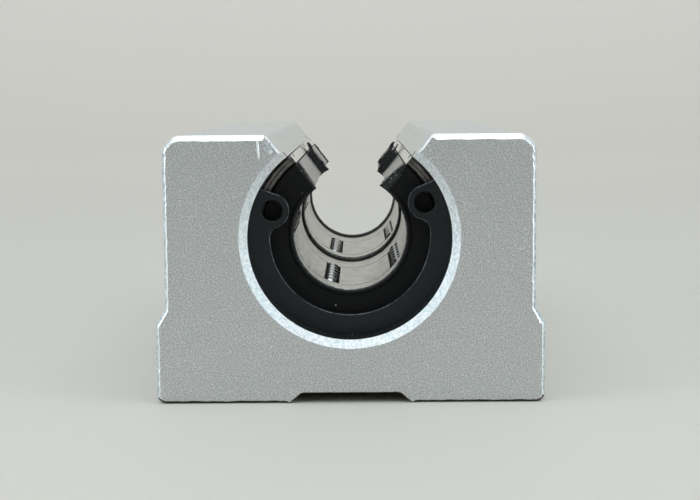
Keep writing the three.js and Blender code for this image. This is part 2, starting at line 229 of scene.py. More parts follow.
# How far a cutting tool reaches past its cut, and how near a surface counts as on it.
OVERSHOOT = 1
TOLERANCE = 0.05

# Degrees between faces: from the first an edge is softened, and up to the second it looks smooth.
SOFTENED_FROM = 35
SMOOTH_UP_TO = 28

# How far a face's normal has to point along the shaft, up or round it, out of 1.
END_FACE = 0.999
BESIDE_END_FACE = 0.77
EDGE_FACE = 0.05
TILTED_FACE = 0.3
CUT_FACE = 0.9

scene = bpy.context.scene

# ---------- outlines


def polar(radius, degrees):
    """A point of the cross-section, at an angle from straight up."""
    return Vector((radius * math.sin(math.radians(degrees)), radius * math.cos(math.radians(degrees))))


def on_ring(radius, degrees, y):
    """A point at a distance from the bore axis and an angle round it, y along the shaft."""
    point = polar(radius, degrees)
    return Vector((point.x, y, point.y))


def arc(centre, radius, start, end, steps):
    """Points along an arc, both ends included, by angles from straight up."""
    centre = Vector(centre)
    return [centre + polar(radius, start + (end - start) * i / steps) for i in range(steps + 1)]


def mirrored(points):
    """The same points on the other side of the middle plane, in reverse order."""
    return [Vector((-p.x, p.y)) for p in reversed(points)]


def rounded(corners, steps=3):
    """A closed outline from (point, radius) corners, with each corner turned into an arc."""
    outline = []
    for i, (corner, radius) in enumerate(corners):
        before = Vector(corners[i - 1][0])
        after = Vector(corners[(i + 1) % len(corners)][0])
        corner = Vector(corner)
        if radius == 0:
            outline.append(corner)
            continue
        towards_before = (before - corner).normalized()
        towards_after = (after - corner).normalized()
        half_angle = towards_before.angle(towards_after) / 2
        reach = radius / math.tan(half_angle)
        start = corner + towards_before * reach
        end = corner + towards_after * reach
        middle = (towards_before + towards_after).normalized()
        centre = corner + middle * (radius / math.sin(half_angle))
        for step in range(steps + 1):
            along = start.lerp(end, step / steps) - centre
            outline.append(centre + along.normalized() * radius)
    return outline


def divided(points, spacing):
    """A closed outline with no stretch longer than the spacing."""
    dense = []
    for i, point in enumerate(points):
        after = points[(i + 1) % len(points)]
        pieces = max(1, math.ceil((after - point).length / spacing))
        dense += [point.lerp(after, k / pieces) for k in range(pieces)]
    return dense


def drawn_in(points, amounts):
    """A clockwise outline with each point moved inwards by its own amount."""
    inset = []
    for i, point in enumerate(points):
        ahead = (points[(i + 1) % len(points)] - point).normalized()
        behind = (point - points[i - 1]).normalized()
        inward = Vector((ahead.y + behind.y, -ahead.x - behind.x)).normalized()
        spread = max(0.5, inward.dot(Vector((ahead.y, -ahead.x))))
        inset.append(point + inward * (amounts[i] / spread))
    return inset


# ---------- meshes


def add_object(name, builder):
    """A scene object from a bmesh, freed afterwards."""
    mesh = bpy.data.meshes.new(name)
    builder.to_mesh(mesh)
    builder.free()
    piece = bpy.data.objects.new(name, mesh)
    scene.collection.objects.link(piece)
    return piece


def loft(name, rings):
    """A skin over rings of points in millimetres, with a face over each end."""
    builder = bmesh.new()
    rows = [[builder.verts.new(Vector(p) * MM) for p in ring] for ring in rings]
    count = len(rows[0])
    for lower, upper in zip(rows, rows[1:]):
        for i in range(count):
            j = (i + 1) % count
            builder.faces.new((lower[i], lower[j], upper[j], upper[i]))
    builder.faces.new(rows[0])
    builder.faces.new(rows[-1])
    bmesh.ops.recalc_face_normals(builder, faces=builder.faces)
    return add_object(name, builder)


def turned_sector(name, profile_at, start, end, steps):
    """A profile of (radius, y) swept round the bore axis from one angle to another."""
    angles = [start + (end - start) * i / steps for i in range(steps + 1)]
    return loft(name, [[on_ring(r, a, y) for r, y in profile_at(a)] for a in angles])


def turned_on_axis(name, profile, steps=48):
    """A profile of (radius, y) from axis to axis, as a lathe would turn it: rings and two discs."""
    angles = [360 * i / steps for i in range(steps)]
    rings = [[on_ring(r, a, y) for a in angles] for r, y in profile]
    return loft(name, rings)


def prism(name, outline, start, end, edges=None, flatness=0.0):
    """An outline run along the shaft, its end edges broken by a width given for each point.

    A flatness of 0 rounds them and one of 1 chamfers them.
    """
    edges = edges or [0] * len(outline)
    steps = EDGE_STEPS if max(edges) > 0 else 0
    rings = []
    for place, direction in ((start, 1), (end, -1)):
        side = []
        for k in range(steps + 1):
            part = k / steps if steps else 1
            turn = math.radians(90 * part)
            inset = (1 - math.sin(turn)) * (1 - flatness) + (1 - part) * flatness
            sink = (1 - math.cos(turn)) * (1 - flatness) + part * flatness
            inner = drawn_in(outline, [e * inset for e in edges])
            depth = [e * sink for e in edges]
            side.append([(p.x, place + direction * d, p.y) for p, d in zip(inner, depth)])
        rings += side if direction > 0 else side[::-1]
    return loft(name, rings)


def modified(piece, kind, **settings):
    """Works a modifier with these settings into a piece's mesh."""
    modifier = piece.modifiers.new(kind.lower(), kind)
    for key, value in settings.items():
        setattr(modifier, key, value)
    graph = bpy.context.evaluated_depsgraph_get()
    mesh = bpy.data.meshes.new_from_object(piece.evaluated_get(graph))
    piece.modifiers.clear()
    old = piece.data
    piece.data = mesh
    bpy.data.meshes.remove(old)
    return piece


def combined(piece, other, operation):
    """Cuts another object out of a piece or joins it on, and removes the other."""
    modified(
        piece, "BOOLEAN", operation=operation, solver="EXACT", material_mode="TRANSFER", object=other
    )
    bpy.data.objects.remove(other)
    return piece


def cut(piece, tools):
    for tool in tools:
        combined(piece, tool, "DIFFERENCE")
    return piece


def moved(piece, matrix):
    piece.data.transform(matrix)
    return piece


def shift(x, y, z):
    """A move by millimetres."""
    return Matrix.Translation(Vector((x, y, z)) * MM)


def about_bore(degrees):
    """A turn about the bore axis, clockwise from the front."""
    return Matrix.Rotation(math.radians(degrees), 4, "Y")


def softened(piece, width):
    """Rounds a piece's sharp edges by a width in millimetres."""
    return modified(
        piece, "BEVEL", width=width * MM, segments=2, limit_method="ANGLE",
        angle_limit=math.radians(SOFTENED_FROM), use_clamp_overlap=True,
    )


def smoothed(piece, crisp=False):
    """Shades a piece smooth, except over its sharper edges, with its flats kept flat."""
    piece.data.polygons.foreach_set("use_smooth", [True] * len(piece.data.polygons))
    piece.data.set_sharp_from_angle(angle=math.radians(SMOOTH_UP_TO))
    if crisp:
        with_crisp_borders(piece)
    return modified(piece, "WEIGHTED_NORMAL", keep_sharp=True)


def with_crisp_borders(piece):
    """Keeps a piece's shading apart wherever one material meets another."""
    builder = bmesh.new()
    builder.from_mesh(piece.data)
    for edge in builder.edges:
        if len({face.material_index for face in edge.link_faces}) > 1:
            edge.smooth = False
    builder.to_mesh(piece.data)
    builder.free()
    return piece


def painted(piece, *surfaces):
    """Gives a piece its materials. A face keeps its own number, where it has one."""
    piece.data.materials.clear()
    for surface in surfaces:
        piece.data.materials.append(surface.material)
    return piece


def placed(piece, node, body, matrix, crisp=False):
    """Puts a piece in the frame in place of a CAD node."""
    piece.matrix_world = matrix
    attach(piece, body)
    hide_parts(node)
    return smoothed(piece, crisp=crisp)


# ---------- materials


def connect(tree, socket, value):
    """Feeds a socket with another node's output, or sets it to a number, vector or colour."""
    if isinstance(value, bpy.types.NodeSocket):
        tree.links.new(value, socket)
    else:
        socket.default_value = (*value, 1) if socket.type == "RGBA" else value


def add_node(tree, kind, settings=None, **sockets):
    """A shader node with its settings and its inputs, each a value or another node's output."""
    node = tree.nodes.new("ShaderNode" + kind)
    for key, value in (settings or {}).items():
        setattr(node, key, value)
    for key, value in sockets.items():
        connect(tree, node.inputs[key.replace("_", " ")], value)
    return node


def blended(tree, factor, first, second):
    """A colour between two, by a factor."""
    node = add_node(tree, "Mix", {"data_type": "RGBA"})
    connect(tree, node.inputs["Factor"], factor)
    connect(tree, node.inputs[6], first)
    connect(tree, node.inputs[7], second)
    return node.outputs[2]


def multiplied(tree, first, second):
    node = add_node(tree, "Math", {"operation": "MULTIPLY"})
    connect(tree, node.inputs[0], first)
    connect(tree, node.inputs[1], second)
    return node.outputs["Value"]


SPECK_CORE = 0.55
PATCHES_PER_MM = 0.8
PATCH_EDGE = (0.52, 0.62)


class Surface:
    """One procedural material, with textures measured in millimetres on the piece itself."""

    def __init__(self, name, **shader_sockets):
        self.material = bpy.data.materials.new(name)
        self.material.use_nodes = True
        self.tree = self.material.node_tree
        self.shader = self.tree.nodes["Principled BSDF"]
        for key, value in shader_sockets.items():
            self.shader.inputs[key.replace("_", " ")].default_value = value
        self.coordinates = add_node(self.tree, "TexCoord").outputs["Object"]
        self.colour = None
        self.bump_output = None

    def millimetres(self, stretch=(1, 1, 1)):
        scale = tuple(s / MM for s in stretch)
        mapping = add_node(self.tree, "Mapping", Vector=self.coordinates, Scale=scale)
        return mapping.outputs["Vector"]

    def noise(self, per_mm, detail=2, roughness=0.5, stretch=(1, 1, 1)):
        texture = add_node(
            self.tree, "TexNoise", Vector=self.millimetres(stretch), Scale=per_mm,
            Detail=detail, Roughness=roughness,
        )
        return texture.outputs["Fac"]

    def band(self, value, low, high, to_low=0.0, to_high=1.0):
        """Maps a value from one range to another, clamped."""
        node = add_node(
            self.tree, "MapRange", Value=value, From_Min=low, From_Max=high,
            To_Min=to_low, To_Max=to_high,
        )
        return node.outputs["Result"]

    def tint(self, factor, first, second):
        """Sets the base colour, between two, by a factor."""
        self.colour = blended(self.tree, factor, first, second)
        self.feed("Base Color", self.colour)

    def cover(self, factor, colour):
        """Lays another colour over the base colour, where the factor is above zero."""
        self.tint(factor, self.colour, colour)

    def speckle(self, per_mm, size, colour):
        """Lays tiny round specks over the base colour in patches, such as dust, or painted sparkle glints on
        the end faces.
        """
        points = add_node(self.tree, "TexVoronoi", Vector=self.millimetres(), Scale=per_mm)
        specks = self.band(points.outputs["Distance"], size, size * SPECK_CORE)
        patches = self.band(self.noise(PATCHES_PER_MM, detail=1), *PATCH_EDGE)
        self.cover(multiplied(self.tree, specks, patches), colour)

    def feed(self, socket, value):
        self.tree.links.new(value, self.shader.inputs[socket])

    def bump(self, height, depth):
        """Adds relief of a depth in millimetres to what there is already."""
        node = add_node(self.tree, "Bump", Height=height, Distance=depth * MM)
        if self.bump_output is not None:
            self.tree.links.new(self.bump_output, node.inputs["Normal"])
        self.bump_output = node.outputs["Normal"]
        self.feed("Normal", self.bump_output)


WHITE = (1.0, 1.0, 1.0)
DUST = (0.42, 0.42, 0.41)
GRAIN_RANGE = (0.3, 0.7)


def grained(name, grain, dark, light, gloss, contrast=None, relief=0, **shader_sockets):
    """A surface whose colour, roughness and relief all follow one noise.

    The grain is the noise's scale, detail, roughness and stretch. The gloss is the surface's
    roughness at its low and its high end, and the contrast is where dark turns to light.
    """
    surface = Surface(name, **{"Metallic": 1.0, **shader_sockets})
    pattern = surface.noise(*grain)
    surface.tint(surface.band(pattern, *contrast) if contrast else pattern, dark, light)
    surface.feed("Roughness", surface.band(pattern, *GRAIN_RANGE, *gloss))
    if relief:
        surface.bump(pattern, relief)
    return surface


# The block's end faces: an even, fine, matt grain, with white flecks painted in as sparkle glints.
SAWN = grained(
    "sawn_aluminium", (6.8, 2, 0.85),
    (0.485, 0.515, 0.525), (0.965, 0.965, 0.965), contrast=(0.38, 0.62), gloss=(0.43, 0.35), relief=0.045,
)
# White flecks and specks: painted sparkle glints.
SAWN.cover(SAWN.band(SAWN.noise(4.9, detail=1), 0.66, 0.74), WHITE)
SAWN.speckle(1.1, 0.12, WHITE)

# Chamfers and countersinks: bright, with short tool marks.
BURNISHED = grained(
    "burnished_aluminium", (3.4, 4, 0.8),
    (0.64, 0.73, 0.78), WHITE, contrast=(0.4, 0.6), gloss=(0.28, 0.42), relief=0.09,
)

# The rolled top edges of the end faces: almost white, partly where tools and hands rubbed them and partly as
# a painted highlight where they face up.
POLISHED_AND_HIGHLIGHTED = grained(
    "polished_and_highlighted_aluminium", (3.0, 3, 0.7),
    (0.86, 0.92, 0.96), WHITE, contrast=(0.35, 0.55), gloss=(0.3, 0.4), relief=0.04,
)

# The shallow relief under the foot: dull extrusion, its colour darkened as painted shade in the recess.
SHADED_RELIEF = grained(
    "shaded_relief_aluminium", (2.0, 4, 0.7, (1, 0.03, 1)),
    (0.13, 0.12, 0.11), (0.34, 0.33, 0.31), gloss=(0.4, 0.55), relief=0.012,
)

# The broken edges down the sides of the end faces: duller, with dark nicks.
RUBBED = grained(
    "rubbed_aluminium", (3.2, 4, 0.8),
    (0.4, 0.45, 0.49), (0.8, 0.87, 0.92), contrast=(0.4, 0.6), gloss=(0.28, 0.42), relief=0.09,
)

# Where the block was knocked: darker, smeared metal with bright torn specks.
BRUISED = grained(
    "bruised_aluminium", (2.6, 3, 0.8),
    (0.42, 0.45, 0.52), (0.95, 0.97, 1.0), contrast=(0.35, 0.65), gloss=(0.35, 0.5), relief=0.12,
)
BRUISED.cover(BRUISED.band(BRUISED.noise(2.1), 0.6, 0.64), WHITE)

# The front and rear edges of the foot: stained brown where the block rests, and darkened further as painted
# contact shade.
GRIMY_AND_SHADED = grained(
    "grimy_and_shaded_aluminium", (1.6, 4, 0.7),
    (0.012, 0.01, 0.008), (0.15, 0.125, 0.1), contrast=(0.45, 0.7), gloss=(0.6, 0.45), relief=0.04,
    Metallic=0.25,
)

# The block's long sides: satin, with faint die lines along the shaft.
EXTRUDED = Surface("extruded_aluminium", Metallic=1.0)
lines = EXTRUDED.noise(3.0, detail=3, roughness=0.6, stretch=(1, 0.015, 1))
EXTRUDED.tint(lines, (0.66, 0.675, 0.68), (0.77, 0.78, 0.785))
cloud = EXTRUDED.noise(0.2, detail=3)
EXTRUDED.feed("Roughness", EXTRUDED.band(cloud, *GRAIN_RANGE, 0.36, 0.46))
EXTRUDED.bump(lines, 0.012)
EXTRUDED.bump(EXTRUDED.noise(6), 0.006)

# Bores, grooves and holes: fine turning lines round the cut.
MACHINED = grained(
    "machined_aluminium", (6.0, 2, 0.5, (0.05, 1, 0.05)),
    (0.62, 0.64, 0.65), (0.78, 0.79, 0.79), gloss=(0.14, 0.22), relief=0.002,
)

# Bright drawn steel with faint scratches, stains and a few small dark marks.
CAGE = grained(
    "cage_steel", (2.5, 4, 0.7, (1, 0.12, 1)),
    (0.27, 0.285, 0.265), (0.6, 0.61, 0.585), contrast=GRAIN_RANGE, gloss=(0.16, 0.28), relief=0.004,
)
CAGE.cover(CAGE.band(CAGE.noise(0.7, detail=4), 0.46, 0.62), (0.3, 0.295, 0.265))
marks = CAGE.noise(1.3, detail=5, roughness=0.8, stretch=(1, 0.6, 1))
CAGE.cover(CAGE.band(marks, 0.595, 0.62), (0.08, 0.078, 0.075))

# Ground bearing steel with fine lines round it.
SLEEVE = grained(
    "sleeve_steel", (7, 3, 0.5, (0.4, 1, 0.4)),
    (0.5, 0.5, 0.5), (0.66, 0.66, 0.65), gloss=(0.24, 0.36), relief=0.006,
)

# The sleeve's faces along the slot: clean, pale ground steel.
CUT_STEEL = grained(
    "cut_steel", (3, 3, 0.6),
    (0.76, 0.74, 0.7), (0.9, 0.88, 0.84), gloss=(0.38, 0.5), relief=0.01,
)

# The cage's faces along the slot: greyer steel with small dark pits.
DULL_STEEL = grained(
    "dull_steel", (2.4, 4, 0.7),
    (0.34, 0.34, 0.33), (0.52, 0.515, 0.5), contrast=GRAIN_RANGE, gloss=(0.35, 0.5), relief=0.02,
)
DULL_STEEL.cover(DULL_STEEL.band(DULL_STEEL.noise(1.6, detail=3), 0.64, 0.7), (0.1, 0.1, 0.1))

# The sleeves' end faces: dark, oily steel.
TURNED_STEEL = grained(
    "turned_steel", (1.2, 4, 0.7),
    (0.12, 0.105, 0.1), (0.26, 0.24, 0.23), contrast=(0.35, 0.65), gloss=(0.3, 0.45), relief=0.02,
)

# The balls' flanks: darkened as a painted dark reflection of the grease-dark channel round them.
BALL_FLANK_REFLECTION = grained(
    "ball_flank_painted_reflection", (1.5, 2), (0.03, 0.032, 0.034), (0.1, 0.1, 0.1), gloss=(0.2, 0.35)
)

# Lapped bearing balls: almost a mirror, with a trace of oil film.
BALL = grained(
    "ball_steel", (0.9, 2), (0.46, 0.47, 0.48), (0.62, 0.63, 0.63), gloss=(0.2, 0.28)
)

# Black phosphated spring steel, lightly oiled, with a little dust.
CIRCLIP = grained(
    "circlip_steel", (5, 3), (0.007, 0.009, 0.01), (0.021, 0.025, 0.027),
    gloss=(0.32, 0.46), relief=0.008, Metallic=0.35, Specular_IOR_Level=0.42,
)
CIRCLIP.speckle(0.9, 0.075, DUST)

# The circlips' rounded edges, where the black is rubbed to a dark shine, lightened further as a painted
# highlight outline.
WORN_AND_HIGHLIGHTED_CIRCLIP = grained(
    "worn_and_highlighted_circlip_steel", (2.4, 4, 0.7), (0.03, 0.035, 0.045),
    (0.22, 0.23, 0.25), contrast=(0.4, 0.62), gloss=(0.22, 0.34), Metallic=0.6, Specular_IOR_Level=0.5,
)

# The seals' lips and torn cut edges: lumpy, glossy in wet patches, with small glints painted into the colour
# as pale spots.
TORN_RUBBER = Surface("torn_rubber_painted_glints", Metallic=0.0, Specular_IOR_Level=0.5)
lumps = TORN_RUBBER.noise(3.4, detail=4, roughness=0.75)
# Pale spots in the colour: painted glints.
painted_glints = TORN_RUBBER.band(TORN_RUBBER.noise(5.5), 0.655, 0.7)
TORN_RUBBER.tint(painted_glints, (0.006, 0.006, 0.008), (0.34, 0.36, 0.4))
TORN_RUBBER.feed("Roughness", TORN_RUBBER.band(lumps, 0.35, 0.65, 0.45, 0.18))
TORN_RUBBER.bump(lumps, 0.12)

# Black moulded rubber with a faint mould texture and a little dust.
RUBBER = grained(
    "seal_rubber", (3.2, 4, 0.6), (0.004, 0.004, 0.005),
    (0.011, 0.011, 0.012), gloss=(0.42, 0.62), relief=0.02, Metallic=0.0, Specular_IOR_Level=0.14,
)
RUBBER.speckle(0.8, 0.085, DUST)

# Black oxide on steel, worn a little.
SCREW = grained(
    "screw_steel", (4, 3), (0.07, 0.07, 0.075), (0.19, 0.19, 0.2),
    gloss=(0.3, 0.45), relief=0.006, Metallic=0.8,
)

# ---------- housing

QUARTER_TURN = Matrix.Rotation(math.radians(-90), 4, "Z")
at_bore = shift(0, 0, BORE_HEIGHT)
body_top = BLOCK_HEIGHT - BORE_HEIGHT
slot_top = body_top * math.tan(math.radians(SLOT_HALF_ANGLE))
foot = -BORE_HEIGHT


def housing_outline():
    """The extrusion's cross-section, clockwise from the relief's left corner."""
    right = [
        ((RELIEF_ROOF_HALF_WIDTH, foot + RELIEF_DEPTH), RELIEF_ROOF_RADIUS),
        ((RELIEF_HALF_WIDTH, foot), RELIEF_EDGE_RADIUS),
        ((FOOT_HALF_WIDTH, foot), FOOT_CORNER_RADIUS),
        ((FOOT_HALF_WIDTH, foot + FOOT_HEIGHT), SHOULDER_RADIUS),
        ((BODY_HALF_WIDTH, foot + SHOULDER_HEIGHT), SHOULDER_RADIUS),
        ((BODY_HALF_WIDTH, body_top), TOP_CORNER_RADIUS),
        ((slot_top, body_top), SLOT_CORNER_RADIUS),
        (polar(BORE_RADIUS, SLOT_HALF_ANGLE), 0),
    ]
    left = [((-p[0], p[1]), radius) for p, radius in reversed(right)]
    outline = rounded(right + left, steps=8)
    bore_at = outline.index(polar(BORE_RADIUS, SLOT_HALF_ANGLE))
    bore = arc((0, 0), BORE_RADIUS, SLOT_HALF_ANGLE, 360 - SLOT_HALF_ANGLE, steps=224)
    outline = outline[:bore_at] + bore + outline[bore_at + 2:]
    return divided(outline, spacing=0.22)[::-1]


def end_edge_widths(outline):
    """How far each stretch of the end faces' edges is broken: most on top, hardly in the slot."""
    corners = tight_corners()
    widths = []
    for i, point in enumerate(outline):
        ahead = outline[(i + 1) % len(outline)] - point
        upward = max(0, ahead.normalized().x) if point.y > body_top - TOP_EDGE_DEPTH else 0
        near_foot = max(0, min(1, foot + RELIEF_EDGE_HEIGHT - point.y))
        in_relief = near_foot * (abs(point.x) < RELIEF_HALF_WIDTH)
        wander = noise.noise(Vector((point.x, point.y, 0)) * EDGE_WANDERS_PER_MM)
        nicks = max(0, noise.noise(Vector((point.x, point.y, 7)) * NICKS_PER_MM) - NICK_THRESHOLD)
        width = EDGE_BREAK + TOP_EDGE_EXTRA * upward + EDGE_WANDER * wander
        width = (width + NICK_DEPTH * nicks * (1 - upward)) * (1 - RELIEF_EDGE_LOSS * in_relief)
        if point.y < foot + FOOT_EDGE_HEIGHT and not in_relief:
            width = FOOT_EDGE_BREAK + THIN_EDGE_WANDER * wander
        if abs(point.x) < SLOT_EDGE_REACH and point.y > 0 and upward < MOSTLY_UPWARD:
            width = SLOT_EDGE_BREAK + THIN_EDGE_WANDER * wander + SLOT_NICK_DEPTH * nicks
        room = (most + CORNER_ROOM * (point - at).length for at, most in corners)
        widths.append(min(width, *room))
    return widths


def tight_corners():
    """The outline's sharper corners, each with the widest break that it has room for."""
    corners = []
    for side in (-1, 1):
        corners += [
            (polar(BORE_RADIUS, side * SLOT_HALF_ANGLE), 0.03),
            (Vector((side * RELIEF_HALF_WIDTH, foot)), 0.12),
            (Vector((side * FOOT_HALF_WIDTH, foot)), 0.35),
            (Vector((side * slot_top, body_top)), 0.4),
        ]
    return corners


def dent_tool(surface, x, z, radius, depth, stretch=1.0, lean=0):
    """A shallow scoop in the front face: a lump that reaches a little way into it."""
    builder = bmesh.new()
    bmesh.ops.create_icosphere(builder, subdivisions=4, radius=radius * MM)
    for vertex in builder.verts:
        bumps = noise.noise(vertex.co / MM * DENT_LUMPS_PER_MM + Vector((x, z, 0)))
        vertex.co *= 1 + DENT_LUMPINESS * bumps
    lump = painted(add_object("dent_tool", builder), surface)
    moved(lump, about_bore(lean) @ Matrix.Diagonal((1, 1, stretch, 1)))
    return moved(lump, shift(x, -BLOCK_LENGTH / 2 - radius + depth, z))


def dent_tools():
    """The knock at the top left corner of the slot: a bruise, a bright spot and a scratch."""
    return [
        dent_tool(BRUISED, x=-8.3, z=9.5, radius=3.0, depth=0.06, lean=20),
        dent_tool(POLISHED_AND_HIGHLIGHTED, x=-7.95, z=8.95, radius=0.4, depth=0.06),
        dent_tool(POLISHED_AND_HIGHLIGHTED, x=-9.2, z=9.1, radius=0.12, depth=0.04, stretch=8.5, lean=-4),
    ]


def thread_tool(name, radius, depth, pitch, length, steps=36):
    """A screw-threaded plug along the shaft's direction, from y = 0: a screw, or the cut for one."""
    rows = round(length / pitch * THREAD_ROWS_PER_TURN)
    rings = []
    for k in range(rows + 1):
        y = length * k / rows
        ring = []
        for i in range(steps):
            phase = (y / pitch - i / steps) % 1
            crest = 1 - abs(2 * phase - 1)
            ring.append(on_ring(radius - depth * crest, 360 * i / steps, y))
        rings.append(ring)
    return painted(loft(name, rings), MACHINED)


def foot_bolt_tools():
    """Four tapped M5 holes in the mounting face, each with a small countersink."""
    tools = []
    for x, y in FOOT_BOLT_PLACES:
        upright = shift(x, y, foot) @ Matrix.Rotation(math.radians(90), 4, "X")
        hole = thread_tool("foot_bolt_tool", length=FOOT_BOLT_DEPTH, **FOOT_BOLT_THREAD)
        tools.append(moved(hole, upright @ shift(0, -FOOT_BOLT_START, 0)))
        sink = turned_on_axis("foot_sink_tool", FOOT_BOLT_SINK)
        tools.append(moved(painted(sink, BURNISHED), upright))
    return tools


def set_screw_hole_tools():
    """Two tapped M4 holes from the right side into the bore, one over each bushing's middle."""
    tools = []
    inside = BORE_RADIUS - SCREW_HOLE_OVERLAP
    outside = BODY_HALF_WIDTH
    for place in BUSHING_CENTRES.values():
        outward = shift(0, place, 0) @ QUARTER_TURN
        hole = thread_tool("screw_hole_tool", length=outside - inside + OVERSHOOT, **SCREW_HOLE_THREAD)
        tools.append(moved(hole, outward @ shift(0, inside, 0)))
        sink = turned_on_axis("screw_sink_tool", [(r, outside + y) for r, y in SCREW_HOLE_SINK])
        tools.append(moved(painted(sink, BURNISHED), outward))
    return tools


def bore_tools():
    """The bore's chamfers and the circlips' grooves."""
    tools = []
    for end in (-1, 1):
        face = end * BLOCK_LENGTH / 2
        slope = BORE_CHAMFER_DEPTH / BORE_CHAMFER
        cone = [
            (BORE_RADIUS + BORE_CHAMFER + OVERSHOOT, face + end * OVERSHOOT * slope),
            (BORE_RADIUS - OVERSHOOT, face - end * (BORE_CHAMFER + OVERSHOOT) * slope),
        ]
        chamfer = turned_on_axis("chamfer_tool", cone[::-end], steps=288)
        tools.append(painted(chamfer, BURNISHED))
        near = end * BUSHING_LENGTH
        groove = [(GROOVE_RADIUS, near), (GROOVE_RADIUS, near + end * GROOVE_WIDTH)]
        tools.append(painted(turned_on_axis("groove_tool", groove, steps=288), MACHINED))
    return tools


def housing_surface(face):
    """A housing face's surface, by where it lies and how far it leans from the shaft's direction."""
    along = abs(face.normal.y)
    centre = face.center / MM
    if along > END_FACE:
        return SAWN
    if along > EDGE_FACE:
        beside_end_face = along > BESIDE_END_FACE
        # Downward edges low on the foot get brown stain plus painted contact shade.
        if face.normal.z < -TILTED_FACE and centre.z < foot + GRIME_AND_SHADE_HEIGHT:
            return SAWN if beside_end_face else GRIMY_AND_SHADED
        # Edge breaks that face up get the near-white material: a painted highlight as well as rubbing.
        on_top = face.normal.z > TILTED_FACE and centre.z > 0
        return POLISHED_AND_HIGHLIGHTED if on_top or beside_end_face else RUBBED
    if math.hypot(centre.x, centre.z) < BORE_RADIUS + TOLERANCE:
        return MACHINED
    # Faces inside the relief take the painted-shade material.
    in_relief = abs(centre.x) < RELIEF_HALF_WIDTH and centre.z < foot + RELIEF_DEPTH + 2 * TOLERANCE
    return SHADED_RELIEF if in_relief and centre.z > foot + TOLERANCE else EXTRUDED


def build_housing():
    outline = housing_outline()
    half = BLOCK_LENGTH / 2
    piece = prism("bearing_housing", outline, -half, half, end_edge_widths(outline), EDGE_FLATNESS)
    surfaces = [SAWN, RUBBED, EXTRUDED, MACHINED, GRIMY_AND_SHADED, POLISHED_AND_HIGHLIGHTED, SHADED_RELIEF]
    painted(piece, *surfaces)
    for face in piece.data.polygons:
        face.material_index = surfaces.index(housing_surface(face))
    cut(piece, bore_tools() + set_screw_hole_tools() + foot_bolt_tools() + dent_tools())
    return placed(piece, "housing", "root", at_bore, crisp=True)


# ---------- circlips


def circlip_outline():
    """The ring with its two lugs, clockwise round the outside."""
    lug = polar(CIRCLIP_LUG_PITCH, CIRCLIP_LUG_ANGLE)
    fillet_pitch = CIRCLIP_INNER_RADIUS - CIRCLIP_FILLET
    apart = CIRCLIP_LUG_RADIUS + CIRCLIP_FILLET
    turn = math.acos(
        (fillet_pitch**2 + CIRCLIP_LUG_PITCH**2 - apart**2) / (2 * fillet_pitch * CIRCLIP_LUG_PITCH)
    )
    fillet_angle = CIRCLIP_LUG_ANGLE + math.degrees(turn)
    fillet = polar(fillet_pitch, fillet_angle)
    meeting = math.degrees(math.atan2(fillet.x - lug.x, fillet.y - lug.y))
    half = (
        arc(lug, CIRCLIP_LUG_RADIUS, CIRCLIP_LUG_ANGLE - 90, meeting, steps=28)
        + arc(fillet, CIRCLIP_FILLET, meeting + 180, fillet_angle, steps=12)[1:]
        + arc((0, 0), CIRCLIP_INNER_RADIUS, fillet_angle, 180, steps=60)[1:]
    )
    end_angle = CIRCLIP_LUG_ANGLE - math.degrees(math.asin(CIRCLIP_LUG_RADIUS / CIRCLIP_OUTER_RADIUS))
    outer = arc((0, 0), CIRCLIP_OUTER_RADIUS, -end_angle, end_angle - 360, steps=200)
    return (outer + half + mirrored(half[:-1]))[::-1]


def eye_tool(side):
    """The hole in one lug, with slightly rounded rims."""
    half = CIRCLIP_THICKNESS / 2
    radius = CIRCLIP_EYE_RADIUS
    rim = CIRCLIP_EYE_RIM
    front = [(radius + rim * 2, -half - rim), (radius, -half + rim)]
    tool = turned_on_axis("eye_tool", front + [(r, -y) for r, y in reversed(front)])
    centre = polar(CIRCLIP_LUG_PITCH, side * CIRCLIP_LUG_ANGLE)
    return moved(tool, shift(centre.x, 0, centre.y))


def build_circlip(name):
    outline = circlip_outline()
    half = CIRCLIP_THICKNESS / 2
    piece = prism(f"{name}_retaining_ring", outline, -half, half, [CIRCLIP_EDGE] * len(outline))
    painted(cut(piece, [eye_tool(-1), eye_tool(1)]), CIRCLIP, WORN_AND_HIGHLIGHTED_CIRCLIP)
    lug = polar(CIRCLIP_LUG_PITCH, CIRCLIP_LUG_ANGLE)
    for face in piece.data.polygons:
        centre = face.center / MM
        from_eye = math.hypot(abs(centre.x) - lug.x, centre.z - lug.y)
        # Rim faces take the lighter edge material: wear plus a painted highlight outline.
        on_rim = 0.15 < abs(face.normal.y) < 0.97 and from_eye > CIRCLIP_EYE_RADIUS + 0.3
        face.material_index = int(on_rim)
    end = math.copysign(1, BUSHING_CENTRES[name])
    place = at_bore @ shift(0, end * (BUSHING_LENGTH + GROOVE_WIDTH / 2), 0)
    placed(piece, f"{name}_circlip", "root", place @ about_bore(CIRCLIP_TWISTS[name]))


# ---------- bushings


def bushing_place(name):
    return at_bore @ shift(0, BUSHING_CENTRES[name], 0) @ about_bore(BUSHING_TWIST)


def from_down(degrees):
    """A turn that takes what lies straight down to an angle from down, positive towards +X."""
    return about_bore(-degrees)


